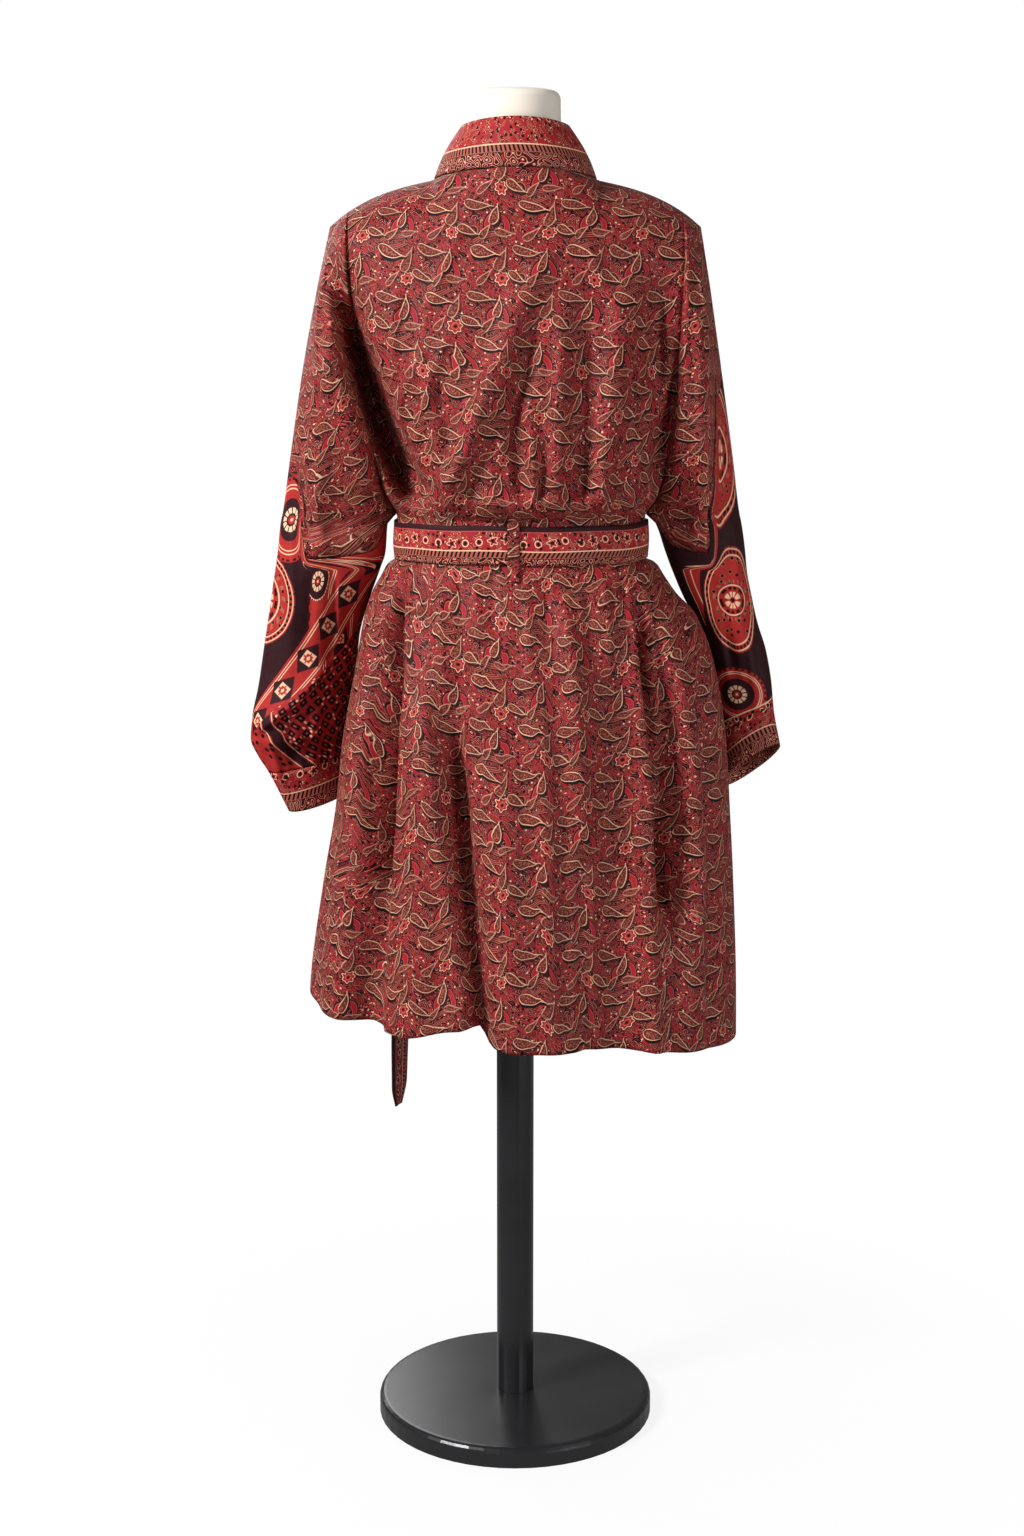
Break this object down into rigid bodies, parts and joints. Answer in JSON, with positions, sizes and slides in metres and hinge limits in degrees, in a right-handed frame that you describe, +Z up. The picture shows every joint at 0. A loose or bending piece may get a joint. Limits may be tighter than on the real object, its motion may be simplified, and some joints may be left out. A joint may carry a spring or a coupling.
{
  "type": "kimono jacket on dress form",
  "caption": "Belted kimono jacket with hanging batwing sleeves, standing collar band and wrapped front, worn by a limbless dress form on a pole with a round foot.",
  "frame": {"origin": "centre of the foot's underside, on the floor", "axes": "+Z up along the pole, +X towards the jacket's own left sleeve, +Y towards its back"},
  "size_m": [0.5633, 0.3332, 1.408],
  "materials": {
    "paisley_cloth": "printed cotton and silk, soft sheen",
    "border_cloth": "border printed cotton and silk, soft sheen",
    "form_jersey": "matt cream jersey",
    "black_metal": "satin black powder coat"
  },
  "bodies": {
    "root": {"back_panel": "paisley_cloth", "front_left": "paisley_cloth", "front_right": "paisley_cloth", "sleeve_left": "border_cloth", "cuff_left": "border_cloth", "sleeve_right": "border_cloth", "cuff_right": "border_cloth", "collar_band": "border_cloth", "belt": "border_cloth", "belt_knot": "border_cloth", "belt_tail_long": "border_cloth", "belt_tail_short": "border_cloth", "belt_loop_back": "paisley_cloth", "form_torso": "form_jersey", "neck_cap": "form_jersey", "pole": "black_metal", "foot": "black_metal"}
  },
  "joints": []
}
